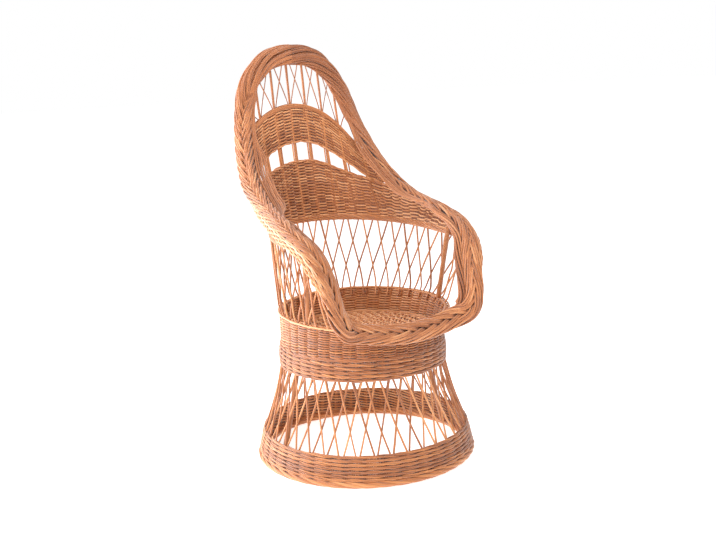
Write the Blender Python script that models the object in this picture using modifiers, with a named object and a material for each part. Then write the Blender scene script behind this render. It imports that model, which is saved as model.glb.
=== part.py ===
"""Woven willow armchair with a high arched back, as separate pieces.

Metres, +Z up, the sitter faces -Y. The origin is under the middle of the
chair's bounding box, on the floor. Round base, waist and seat share one
vertical axis, which stands a little in front of the origin.
"""

import math

import bmesh
import bpy
import numpy as np
from mathutils import Vector

# ---------------------------------------------------------------- dimensions
AXIS_Y = -0.0529            # base, waist and seat axis, in front of the origin
GAP = 0.0003                # play between pieces that touch

PAIRS = 40                  # lattice rods stand in this many pairs round the base
PITCH = 2 * math.pi / PAIRS
FACETS = 40                 # facets of a round band

FOOT_R = 0.300              # outer radius of the foot border, on the floor
FOOT_BORDER_H = 0.020
FOOT_TOP_R = 0.2803         # outer radius at the top of the foot band
FOOT_H = 0.0825             # top of the foot band
BAND_T = 0.013              # thickness of a woven band

WAIST_Z0 = 0.258            # underside of the coarse waist band
WAIST_Z1 = 0.316            # where the coarse weave changes to the fine weave
WAIST_R = 0.2272
NECK_R = 0.2220             # narrowest radius, just above the waist
NECK_Z = 0.345
SEAT_BAND_R = 0.2300        # outer radius at the top of the seat band
SEAT_BAND_Z = 0.4080        # its top edge over the axis
SEAT_BAND_RAKE = 0.049      # rise of that edge per metre towards the back
SEAT_BAND_LEAN = 0.018      # how far that edge stands forward of the axis

SEAT_R = 0.2065
SEAT_Z = 0.344              # top of the woven seat
SEAT_T = 0.014

RAIL_A = 0.221              # half width of the arm rail
RAIL_B = 0.2895             # reach of the arm rail behind the axis
RAIL_R = 0.008
RAIL_Z_BACK = 0.610
RAIL_Z_SIDE = 0.599
RAIL_END = math.radians(117)

LATTICE_ROD = 0.0052        # thickness of a lattice rod
STAKE_R = 0.0035            # upright stakes of the back
STAKE_X = (0.0245, 0.0735, 0.1225, 0.1700)
CROSS_R = 0.0021            # thin crossed rods of the top opening
SKIN_T = 0.0040             # weave in front of the stakes, and behind them
SKIN_OFF = STAKE_R + 0.0017 + SKIN_T / 2
POST_R = 0.0068             # thick posts in the base and the arms

BORDER_T = 0.018            # plaited border, half its thickness
HOOP_R = 0.0080             # bent rod inside the border
# right half of the border, from the top of the back to the middle of the front
# edge, relative to the seat axis: centre, the way its broad face looks, half width
BORDER_STATIONS = (
    ((0.000, 0.387, 1.080), (0.00, -1.00, 0.10), 0.028),
    ((0.080, 0.388, 1.061), (0.15, -0.98, 0.10), 0.028),
    ((0.146, 0.380, 0.984), (0.35, -0.92, 0.10), 0.027),
    ((0.183, 0.329, 0.860), (0.55, -0.82, 0.15), 0.027),
    ((0.212, 0.229, 0.747), (0.60, -0.60, 0.50), 0.027),
    ((0.226, 0.094, 0.680), (0.45, -0.25, 0.85), 0.027),
    ((0.239, -0.051, 0.646), (0.25, -0.15, 0.95), 0.030),
    ((0.223, -0.167, 0.604), (0.00, -0.55, 0.83), 0.031),
    ((0.205, -0.214, 0.542), (-0.40, -0.86, 0.30), 0.035),
    ((0.184, -0.255, 0.432), (-0.42, -0.85, 0.30), 0.032),
    ((0.131, -0.250, 0.399), (-0.10, -0.78, 0.60), 0.028),
    ((0.000, -0.258, 0.383), (0.00, -0.75, 0.66), 0.028),
)
BORDER_STEPS = 64           # segments round the whole border

WILLOW = (0.60, 0.30, 0.14, 1.0)
WILLOW_PALE = (0.72, 0.42, 0.24, 1.0)
WILLOW_DARK = (0.42, 0.18, 0.07, 1.0)


# ------------------------------------------------------------------- scene
for old in list(bpy.data.objects):
    bpy.data.objects.remove(old, do_unlink=True)

chair = bpy.data.collections.new("wicker_armchair")
tools = bpy.data.collections.new("cutters")
bpy.context.scene.collection.children.link(chair)
bpy.context.scene.collection.children.link(tools)

axis = bpy.data.objects.new("seat_axis", None)
axis.location = (0.0, AXIS_Y, 0.0)
chair.objects.link(axis)


def material(name, colour, roughness):
    made = bpy.data.materials.new(name)
    made.use_nodes = True
    shader = made.node_tree.nodes["Principled BSDF"]
    shader.inputs["Base Color"].default_value = colour
    shader.inputs["Roughness"].default_value = roughness
    shader.inputs["Metallic"].default_value = 0.0
    made.diffuse_color = colour
    return made


def add(name, mesh, colour=WILLOW, roughness=0.55, smooth=True):
    """A named piece of the chair, standing on the seat axis."""
    obj = bpy.data.objects.new(name, mesh)
    obj.parent = axis
    chair.objects.link(obj)
    mesh.materials.clear()
    mesh.materials.append(material(name + "_finish", colour, roughness))
    if smooth:
        mesh.shade_smooth()
        mesh.set_sharp_from_angle(angle=math.radians(40))
    return obj


def add_cutter(name, mesh):
    obj = bpy.data.objects.new(name, mesh)
    obj.parent = axis
    tools.objects.link(obj)
    obj.hide_render = True
    obj.display_type = "WIRE"
    return obj


def boolean(obj, other, operation="DIFFERENCE"):
    cut = obj.modifiers.new("cut_" + other.name, "BOOLEAN")
    cut.operation = operation
    cut.solver = "EXACT"
    cut.object = other
    return cut


# ------------------------------------------------------------ shape helpers
def tube_mesh(name, points, radius, sides=8, cyclic=False):
    """A round tube along the points, as a closed mesh."""
    data = bpy.data.curves.new(name, "CURVE")
    data.dimensions = "3D"
    data.bevel_depth = radius
    data.bevel_resolution = (sides - 4) // 2
    data.use_fill_caps = True
    spline = data.splines.new("POLY")
    spline.points.add(len(points) - 1)
    for spot, point in zip(spline.points, points):
        spot.co = (point[0], point[1], point[2], 1.0)
    spline.use_cyclic_u = cyclic
    guide = bpy.data.objects.new(name, data)
    bpy.context.scene.collection.objects.link(guide)
    bpy.context.view_layer.update()
    graph = bpy.context.evaluated_depsgraph_get()
    mesh = bpy.data.meshes.new_from_object(guide.evaluated_get(graph))
    bpy.data.objects.remove(guide, do_unlink=True)
    form = bmesh.new()
    form.from_mesh(mesh)
    bmesh.ops.remove_doubles(form, verts=form.verts, dist=1e-6)
    bmesh.ops.recalc_face_normals(form, faces=form.faces)
    form.to_mesh(mesh)
    form.free()
    mesh.name = name
    return mesh


def turned(name, profile):
    """A closed profile (radius, height) swept round the vertical axis."""
    turn = sum(a[0] * b[1] - b[0] * a[1] for a, b in zip(profile, profile[1:] + profile[:1]))
    if turn > 0.0:                       # its outer side runs from top to bottom
        profile = profile[::-1]
    form = bmesh.new()
    spots = [form.verts.new((r, 0.0, z)) for r, z in profile]
    for a, b in zip(spots, spots[1:] + spots[:1]):
        form.edges.new((a, b))
    mesh = bpy.data.meshes.new(name)
    form.to_mesh(mesh)
    form.free()
    obj = add(name, mesh, smooth=False)
    screw = obj.modifiers.new("turn", "SCREW")
    screw.angle = 2 * math.pi
    screw.steps = screw.render_steps = FACETS
    screw.use_merge_vertices = True
    screw.merge_threshold = 0.00005
    screw.use_smooth_shade = True
    return obj


def loft_mesh(name, rings, cyclic):
    """Closed sections of equal point count, joined one to the next."""
    form = bmesh.new()
    rows = [[form.verts.new(p) for p in ring] for ring in rings]
    count = len(rows[0])
    steps = len(rows) if cyclic else len(rows) - 1
    for i in range(steps):
        a, b = rows[i], rows[(i + 1) % len(rows)]
        for j in range(count):
            k = (j + 1) % count
            form.faces.new((a[j], a[k], b[k], b[j]))
    if not cyclic:
        form.faces.new(rows[0])
        form.faces.new(list(reversed(rows[-1])))
    bmesh.ops.recalc_face_normals(form, faces=form.faces)
    mesh = bpy.data.meshes.new(name)
    form.to_mesh(mesh)
    form.free()
    return mesh


def smoothstep(t):
    t = min(1.0, max(0.0, t))
    return t * t * (3.0 - 2.0 * t)


# ------------------------------------------------------- curves and surfaces
def closed_spline(stations, steps):
    """Smooth closed curve through the stations, evenly spaced along it.

    Each row holds the centre, the facing direction and the half width.
    """
    flip = np.array((-1.0, 1.0, 1.0, -1.0, 1.0, 1.0, 1.0))
    ring = [np.array(p + n + (w,)) for p, n, w in stations]
    ring += [row * flip for row in reversed(ring[1:-1])]
    count = len(ring)
    fine = []
    for i in range(count):
        p0, p1, p2, p3 = (ring[(i + k) % count] for k in (-1, 0, 1, 2))
        for j in range(24):
            t = j / 24.0
            fine.append(
                0.5 * (2 * p1 + (p2 - p0) * t + (2 * p0 - 5 * p1 + 4 * p2 - p3) * t * t
                       + (3 * p1 - p0 - 3 * p2 + p3) * t ** 3)
            )
    fine = np.array(fine)
    ends = np.vstack([fine, fine[:1]])
    run = np.concatenate([[0.0], np.cumsum(np.linalg.norm(np.diff(ends[:, :3], axis=0), axis=1))])
    at = np.linspace(0.0, run[-1], steps, endpoint=False)
    return np.stack([np.interp(at, run, ends[:, k]) for k in range(7)], axis=1)


BORDER = closed_spline(BORDER_STATIONS, BORDER_STEPS)
BORDER_FINE = closed_spline(BORDER_STATIONS, 1600)
HALF = BORDER_FINE[: len(BORDER_FINE) // 2 + 1, :3]      # right half, top to front


def border_frame(i):
    """Centre, tangent, broad direction, facing direction and half width."""
    row = BORDER[i % BORDER_STEPS]
    ahead, behind = BORDER[(i + 1) % BORDER_STEPS], BORDER[(i - 1) % BORDER_STEPS]
    t = Vector(ahead[:3] - behind[:3]).normalized()
    n = Vector(row[3:6])
    n = (n - t * n.dot(t)).normalized()
    return Vector(row[:3]), t, t.cross(n), n, float(row[6])


def border_ring(i, extra, sides, shift=0.0):
    """An oval section of the border, square to its centre line."""
    centre, t, broad, n, half = border_frame(i)
    ring = []
    for k in range(sides):
        a = 2 * math.pi * (k + 0.5) / sides
        ring.append(centre + t * shift + broad * (math.cos(a) * (half + extra))
                    + n * (math.sin(a) * (BORDER_T + extra)))
    return ring


def back_axis(z):
    """Reach of the back's middle line behind the seat axis, at a height."""
    h = z - 0.605
    return 0.288 + 0.285 * h - 0.2455 * h * h


def back_width(z):
    return RAIL_A + 0.019 * smoothstep((z - 0.605) / 0.09)


def back_depth(z):
    """How far the sides of the back come forward of its middle."""
    return 0.2895 * smoothstep((0.98 - z) / 0.34) ** 1.35


def sheet(phi, z, off=0.0):
    """Point of the back and arm sheet; phi is 0 behind the sitter."""
    side = math.copysign(1.0, phi)
    turn = min(abs(phi), math.pi / 2)
    past = abs(phi) - turn
    a, d = back_width(z), back_depth(z)
    x = a * math.sin(turn)
    y = back_axis(z) - d * (1.0 - math.cos(turn)) - past * 0.40
    if off:
        nx, ny = math.sin(turn) * max(d, 0.02), math.cos(turn) * a
        size = math.hypot(nx, ny)
        x, y = x + off * nx / size, y + off * ny / size
    return Vector((side * x, y, z))


def sheet_at_x(x, z, off=0.0):
    return sheet(math.asin(max(-1.0, min(1.0, x / back_width(z)))), z, off)


def panel_top(x):
    """Top edge of the lower back panel."""
    return 0.777 - 1.9 * x * x


def crescent_foot(x):
    rest = 1.0 - (x / 0.197) ** 4
    return panel_top(x) + GAP * 2 + (0.053 - 0.3 * x * x) * math.sqrt(max(0.0, rest))


def crescent_top(x):
    return 0.938 - 3.3 * x * x


def rail_point(phi):
    side = math.copysign(1.0, phi)
    turn = min(abs(phi), math.pi / 2)
    past = abs(phi) - turn
    z = RAIL_Z_SIDE + (RAIL_Z_BACK - RAIL_Z_SIDE) * math.cos(turn) - 0.012 * past
    return Vector((side * (RAIL_A * math.sin(turn) + 0.004 * past),
                   RAIL_B * math.cos(turn) - 0.40 * past, z))


def band_top(theta, radius):
    """Point on the raked top edge of the seat band; theta is 0 at the back."""
    y = radius * math.cos(theta)
    return Vector((radius * math.sin(theta), y - SEAT_BAND_LEAN, SEAT_BAND_Z + SEAT_BAND_RAKE * y))


def arm_front(share):
    """Right half of the border between the rail's end and the seat front."""
    first = int(np.argmin(np.abs(HALF[:, 1] + 0.205) + 10.0 * (HALF[:, 2] < 0.5)))
    last = int(np.argmin(np.abs(HALF[:, 0] - 0.150) + 10.0 * (HALF[:, 2] > 0.45)))
    return Vector(HALF[int(round(first + share * (last - first)))])


def border_turn(p):
    """Where a point of the border stands round the sheet."""
    w, d = back_width(p[2]), back_depth(p[2])
    rear = back_axis(p[2]) - d
    if d < 0.03:
        return math.asin(min(1.0, p[0] / w))
    if p[1] < rear:
        return math.pi / 2 + (rear - p[1]) / 0.40
    return math.atan2(p[0] / w, (p[1] - rear) / d)


ROUND = HALF[HALF[:, 1] > -0.19]
TURNS = np.maximum.accumulate([border_turn(p) for p in ROUND])


def border_z(phi):
    """Height of the border's centre line where the sheet meets it."""
    return float(np.interp(abs(phi), TURNS, ROUND[:, 2]))


def border_z_at_x(x):
    """Height of the border's centre line over a place across the back."""
    return float(np.interp(-abs(x), -HALF[:250, 0][::-1], HALF[:250, 2][::-1]))


def wall_top(phi):
    """Upper edge of the lattice: the rail, then the front of the arm."""
    if abs(phi) <= RAIL_END:
        return rail_point(phi)
    point = arm_front(min(1.0, (abs(phi) - RAIL_END) / math.radians(38)))
    return Vector((math.copysign(point.x, phi), point.y, point.z))


# --------------------------------------------------------------- base pieces
turned("foot_border", [
    (0.2690, 0.0), (0.2650, 0.0080), (0.2690, FOOT_BORDER_H), (0.2950, FOOT_BORDER_H),
    (FOOT_R, 0.0120), (0.2975, 0.0),
])

foot_low = FOOT_BORDER_H + GAP
turned("foot_band", [
    (0.2945 - BAND_T, foot_low), (FOOT_TOP_R - BAND_T, FOOT_H - 0.003),
    (FOOT_TOP_R - BAND_T / 2, FOOT_H), (FOOT_TOP_R, FOOT_H - 0.003),
    (0.2890, 0.0500), (0.2945, foot_low),
])

turned("waist_band", [
    (WAIST_R - BAND_T, WAIST_Z0), (WAIST_R - BAND_T - 0.001, WAIST_Z1 - GAP),
    (0.2250, WAIST_Z1 - GAP), (0.2285, 0.286), (WAIST_R, WAIST_Z0),
])


def neck(z):
    """Outer radius of the fine band at a height."""
    if z < NECK_Z:
        return NECK_R + 0.0018 * ((NECK_Z - z) / (NECK_Z - WAIST_Z1)) ** 2
    return NECK_R + (SEAT_BAND_R - NECK_R) * ((z - NECK_Z) / (SEAT_BAND_Z - NECK_Z)) ** 1.3


rings = []
for i in range(FACETS):
    th = 2 * math.pi * i / FACETS
    ring = []
    for wall, share in ((0, 0.0), (0, 0.33), (0, 0.68), (0, 1.0), (1, 1.0), (1, 0.5), (1, 0.0)):
        r = neck(WAIST_Z1 + share * (SEAT_BAND_Z - WAIST_Z1)) - wall * (BAND_T - 0.001)
        top = SEAT_BAND_Z + SEAT_BAND_RAKE * r * math.cos(th)
        ring.append((r * math.sin(th), r * math.cos(th) - SEAT_BAND_LEAN * max(0.0, share - 0.33) / 0.67,
                     WAIST_Z1 + share * (top - WAIST_Z1)))
    rings.append(ring)
seat_band = add("seat_band", loft_mesh("seat_band", rings, True), WILLOW)

# the two thick posts of the base, inside the lattice, not quite opposite
for side, turn, word in ((-1, 96, "left"), (1, 84, "right")):
    east, north = side * math.sin(math.radians(turn)), math.cos(math.radians(turn))
    low, high = 0.2655, 0.1970
    add("base_post_" + word,
        tube_mesh("base_post_" + word, [(low * east, low * north, FOOT_BORDER_H + GAP),
                                        (high * east, high * north, WAIST_Z1 - 0.020)], POST_R, 10),
        WILLOW_DARK)

# ---------------------------------------------------------------------- seat
hoop_in, hoop_out = 0.1950, 0.2070
turned("seat_hoop", [(hoop_in, WAIST_Z1), (hoop_in, SEAT_Z - SEAT_T - GAP),
                     (hoop_out, SEAT_Z - SEAT_T - GAP), (hoop_out, WAIST_Z1)])

for shift, word in ((-0.075, "left"), (0.075, "right")):
    reach = math.sqrt((hoop_in - 0.002) ** 2 - (abs(shift) + 0.006) ** 2)
    add("seat_bearer_" + word,
        tube_mesh("seat_bearer_" + word, [(shift, -reach, 0.3230), (shift, reach, 0.3230)], 0.0062, 8),
        WILLOW_DARK)

seat = turned("seat_rim", [
    (0.1880, SEAT_Z - SEAT_T), (0.1880, SEAT_Z), (0.1980, SEAT_Z + 0.003), (SEAT_R, SEAT_Z),
    (SEAT_R, SEAT_Z - SEAT_T),
])

disc = bmesh.new()
bmesh.ops.create_cone(disc, cap_ends=True, segments=FACETS, radius1=0.1880 - GAP, radius2=0.1880 - GAP,
                      depth=SEAT_T - 0.002)
bmesh.ops.translate(disc, verts=disc.verts, vec=(0.0, 0.0, SEAT_Z - SEAT_T / 2))
disc_mesh = bpy.data.meshes.new("seat_weave")
disc.to_mesh(disc_mesh)
disc.free()
add("seat_weave", disc_mesh, WILLOW)

# -------------------------------------------------------------------- border
centres = [row[:3] for row in BORDER]
add("border_hoop", tube_mesh("border_hoop", centres, HOOP_R, 6, cyclic=True), WILLOW_DARK)
bore = add_cutter("hoop_bore", tube_mesh("hoop_bore", centres, HOOP_R + GAP, 6, cyclic=True))
border_cut = add_cutter("border_clear", loft_mesh(
    "border_clear", [border_ring(i, GAP * 1.3, 10) for i in range(BORDER_STEPS)], True))
boolean(seat_band, border_cut)

# sections of the plaited border, split between the named places
marks = {"border_top": (-9, 9), "border_side_right": (9, 19), "border_arm_right": (19, 26),
         "border_front": (26, 38), "border_arm_left": (38, 45), "border_side_left": (45, 55)}


for name, (first, last) in marks.items():
    rings = [border_ring(i, 0.0, 10, GAP * ((i == first) - (i == last))) for i in range(first, last + 1)]
    boolean(add(name, loft_mesh(name, rings, False), WILLOW_PALE), bore)

# ---------------------------------------------------------------------- rail
rail_run = [rail_point(math.radians(a)) for a in np.linspace(-117, 117, 37)]
rail = add("arm_rail", tube_mesh("arm_rail", rail_run, RAIL_R, 6), WILLOW)
boolean(rail, border_cut)
rail_cut = add_cutter("rail_clear", tube_mesh("rail_clear", rail_run, RAIL_R + GAP, 6))


# ------------------------------------------------------------------- lattice
def diamond_net(name, columns, place, rows, closed):
    """Crossed rods: a net of diamonds, each edge a rod of square section."""
    form = bmesh.new()
    grid = []
    for r in range(rows + 1):
        half = 0.5 * (r % 2)
        span = range(columns) if closed or not r % 2 else range(columns - 1)
        grid.append([form.verts.new(place(c + half, r / rows)) for c in span])
    for r in range(rows - 1):
        low, mid, high = grid[r], grid[r + 1], grid[r + 2]
        odd = r % 2
        for c in range(len(low)):
            left, right = (c, c + 1) if odd else (c - 1, c)
            if closed:
                left, right = left % columns, right % columns
            elif left < 0 or right >= len(mid):
                continue
            form.faces.new((low[c], mid[right], high[c], mid[left]))
    bmesh.ops.recalc_face_normals(form, faces=form.faces)
    mesh = bpy.data.meshes.new(name)
    form.to_mesh(mesh)
    form.free()
    obj = add(name, mesh, WILLOW, smooth=False)
    wire = obj.modifiers.new("rods", "WIREFRAME")
    wire.thickness = LATTICE_ROD
    wire.offset = 0.0
    wire.use_boundary = True
    wire.use_replace = True
    wire.use_even_offset = False
    wire.use_relative_offset = False
    return obj


def base_place(column, share):
    z = 0.0800 + share * (0.2620 - 0.0800)
    r = 0.2735 + (0.2195 - 0.2735) * share - 0.006 * math.sin(math.pi * share)
    th = column * PITCH
    return (r * math.sin(th), r * math.cos(th), z)


def flat_cutter(name, low, high):
    form = bmesh.new()
    bmesh.ops.create_cube(form, size=1.0)
    bmesh.ops.scale(form, verts=form.verts, vec=(0.8, 0.8, high - low))
    bmesh.ops.translate(form, verts=form.verts, vec=(0.0, 0.0, (high + low) / 2))
    mesh = bpy.data.meshes.new(name)
    form.to_mesh(mesh)
    form.free()
    return add_cutter(name, mesh)


base_net = diamond_net("base_lattice", PAIRS, base_place, 4, True)
boolean(base_net, flat_cutter("below_lattice", 0.0, FOOT_H + GAP))
boolean(base_net, flat_cutter("above_lattice", WAIST_Z0 - GAP, WAIST_Z0 + 0.06))

WALL_COLUMNS = 31
WALL_R = 0.2262


def wall_place(column, share):
    phi = (column - (WALL_COLUMNS - 1) / 2) * PITCH
    foot = band_top(phi, WALL_R) - Vector((0.0, 0.0, 0.004))
    return foot.lerp(wall_top(phi), share)


wall_net = diamond_net("arm_back_lattice", WALL_COLUMNS, wall_place, 3, False)
rake = flat_cutter("under_lattice", -0.08, SEAT_BAND_Z + GAP)
for corner in rake.data.vertices:
    if corner.co.z > 0.2:
        corner.co.z += SEAT_BAND_RAKE * (corner.co.y + SEAT_BAND_LEAN)
boolean(wall_net, rake)
boolean(wall_net, rail_cut)
boolean(wall_net, border_cut)

# arm posts stand on the seat band just inside the lattice, not quite opposite
for side, turn, word in ((-1, 111, "left"), (1, 100, "right")):
    angle = math.radians(turn) * side
    foot = band_top(angle, WALL_R - LATTICE_ROD / 2 - POST_R - 0.0022) + Vector((0.0, 0.0, 0.0018))
    head = rail_point(math.radians(107) * side) + Vector((-side * 0.0112, 0.0, 0.030))
    post = add("arm_post_" + word, tube_mesh("arm_post_" + word, [foot, head], POST_R, 8), WILLOW_DARK)
    boolean(post, border_cut)
    boolean(post, rail_cut)


# -------------------------------------------------------- woven back panels
def skin(name, limit, low, high, across, up, off, colour):
    """One face of a woven panel: a grid laid on the back sheet, thickened."""
    form = bmesh.new()
    bmesh.ops.create_grid(form, x_segments=across, y_segments=up, size=1.0)
    for spot in form.verts:
        phi = spot.co.x * limit
        share = 0.5 * (spot.co.y + 1.0)
        x = back_width(0.75) * math.sin(min(abs(phi), math.pi / 2))
        top = min(high(phi, x), border_z(phi))
        z = low(phi, x) + share * (top - low(phi, x))
        spot.co = sheet(phi, z, off)
    mesh = bpy.data.meshes.new(name)
    form.to_mesh(mesh)
    form.free()
    obj = add(name, mesh, colour)
    shell = obj.modifiers.new("weave", "SOLIDIFY")
    shell.thickness = SKIN_T
    shell.offset = 0.0
    shell.use_even_offset = True
    boolean(obj, border_cut)
    return obj


def panel_low(phi, x):
    return rail_point(phi).z + RAIL_R + 0.0012


def crescent_low(phi, x):
    return crescent_foot(x)


crescent_end = math.radians(50)
while border_z(crescent_end) - crescent_foot(back_width(0.75) * math.sin(crescent_end)) > 0.008:
    crescent_end += math.radians(0.2)

for off, word in ((-SKIN_OFF, "front"), (SKIN_OFF, "rear")):
    skin("lower_panel_" + word, math.radians(104), panel_low, lambda phi, x: panel_top(x),
         28, 4, off, WILLOW_DARK)
    skin("crescent_" + word, crescent_end, crescent_low,
         lambda phi, x: crescent_top(x), 32, 6, off, WILLOW_DARK)

# stakes run from the rail to the border, between the two faces of the weave
number = 0
for x in [-s for s in reversed(STAKE_X)] + list(STAKE_X):
    number += 1
    top = border_z_at_x(x)
    run = [sheet_at_x(x, z) for z in np.linspace(rail_point(math.asin(x / RAIL_A)).z, top, 12)]
    stake = add("back_stake_%d" % number, tube_mesh("back_stake_%d" % number, run, STAKE_R, 6), WILLOW)
    boolean(stake, border_cut)
    boolean(stake, rail_cut)

# thin rods crossed between the stakes of the top opening
bays = [-s for s in reversed(STAKE_X[:3])] + list(STAKE_X[:3])
for n, (a, b) in enumerate(zip(bays, bays[1:]), 1):
    inset = STAKE_R + CROSS_R + 0.0010
    rods = []
    for k, (low_x, high_x) in enumerate(((a + inset, b - inset), (b - inset, a + inset))):
        z0 = crescent_top(low_x) + 0.0040
        z1 = border_z_at_x(high_x)
        off = (k - 0.5) * CROSS_R * 0.7
        run = [sheet_at_x(low_x + (high_x - low_x) * t, z0 + (z1 - z0) * t, off) for t in (0.0, 0.3, 0.5, 0.7, 1.0)]
        rods.append(tube_mesh("rod", run, CROSS_R, 6))
    cross = add("fan_cross_%d" % n, rods[0], WILLOW_PALE)
    boolean(cross, add_cutter("cross_rod_%d" % n, rods[1]), "UNION")
    boolean(cross, border_cut)
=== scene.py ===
"""Woven willow armchair: every rod of the weave as its own strand of geometry."""
import math

import bpy
import numpy as np
from mathutils import Matrix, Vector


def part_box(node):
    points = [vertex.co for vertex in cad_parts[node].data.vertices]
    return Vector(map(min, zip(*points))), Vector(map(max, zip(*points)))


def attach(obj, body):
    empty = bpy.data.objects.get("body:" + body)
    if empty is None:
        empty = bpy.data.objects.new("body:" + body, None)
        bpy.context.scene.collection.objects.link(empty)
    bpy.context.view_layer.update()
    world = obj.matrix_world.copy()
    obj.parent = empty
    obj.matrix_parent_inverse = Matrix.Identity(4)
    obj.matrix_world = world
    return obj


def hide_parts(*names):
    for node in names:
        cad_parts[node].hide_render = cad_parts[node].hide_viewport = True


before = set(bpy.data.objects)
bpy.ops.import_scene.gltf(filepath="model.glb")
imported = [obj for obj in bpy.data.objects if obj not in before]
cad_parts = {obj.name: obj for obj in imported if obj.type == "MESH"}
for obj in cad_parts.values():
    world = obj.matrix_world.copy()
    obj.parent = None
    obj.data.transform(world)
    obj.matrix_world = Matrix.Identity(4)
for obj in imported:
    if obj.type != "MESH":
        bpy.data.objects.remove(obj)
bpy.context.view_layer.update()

PI = math.pi
RNG = np.random.default_rng(41)

low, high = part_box("foot_border")
AXIS = np.array([(low[0] + high[0]) / 2, (low[1] + high[1]) / 2, 0.0])

# ------------------------------------------------------------------ sizes
PITCH = math.radians(9.0)
FOOT_PROFILE = ((0.0203, 0.2945), (0.05, 0.2890), (0.0825, 0.2803))
WAIST_PROFILE = ((0.258, 0.2272), (0.286, 0.2285), (0.316, 0.2250))
BAND_HALF = 0.0065
WAIST_TOP = 0.316
SEAT_MID_Z = 0.337
STAKE_X = (-0.1700, -0.1225, -0.0735, -0.0245, 0.0245, 0.0735, 0.1225, 0.1700)
STAKE_STEP = 0.049
BASE_PHASE = math.radians(4.4)

BORDER_STATIONS = (
    ((0.000, 0.387, 1.080), (0.00, -1.00, 0.10), 0.028),
    ((0.080, 0.388, 1.061), (0.15, -0.98, 0.10), 0.028),
    ((0.146, 0.380, 0.984), (0.35, -0.92, 0.10), 0.027),
    ((0.183, 0.329, 0.860), (0.55, -0.82, 0.15), 0.027),
    ((0.212, 0.229, 0.747), (0.60, -0.60, 0.50), 0.027),
    ((0.226, 0.094, 0.680), (0.45, -0.25, 0.85), 0.027),
    ((0.239, -0.051, 0.646), (0.25, -0.15, 0.95), 0.030),
    ((0.223, -0.167, 0.604), (0.00, -0.55, 0.83), 0.031),
    ((0.205, -0.214, 0.542), (-0.40, -0.86, 0.30), 0.035),
    ((0.184, -0.255, 0.432), (-0.42, -0.85, 0.30), 0.032),
    ((0.131, -0.250, 0.399), (-0.10, -0.78, 0.60), 0.028),
    ((0.000, -0.258, 0.383), (0.00, -0.75, 0.66), 0.028),
)


# ------------------------------------------------------------------ helpers
def unit(v):
    return v / np.maximum(np.linalg.norm(v, axis=-1, keepdims=True), 1e-12)


def smooth(t):
    t = np.clip(t, 0.0, 1.0)
    return t * t * (3 - 2 * t)


def drift(n, length, scale):
    """A slow seeded wander along a strand of n points, about unit size."""
    knots = max(4, int(length / scale) + 3)
    values = RNG.normal(0.0, 1.0, knots)
    at = np.linspace(0, knots - 3.001, n)
    i = at.astype(int)
    t = at - i
    p0, p1, p2, p3 = values[i], values[i + 1], values[i + 2], values[np.minimum(i + 3, knots - 1)]
    return (p0 * (1 - t) ** 3 + p1 * (3 * t ** 3 - 6 * t ** 2 + 4)
            + p2 * (-3 * t ** 3 + 3 * t ** 2 + 3 * t + 1) + p3 * t ** 3) / 6


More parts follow.
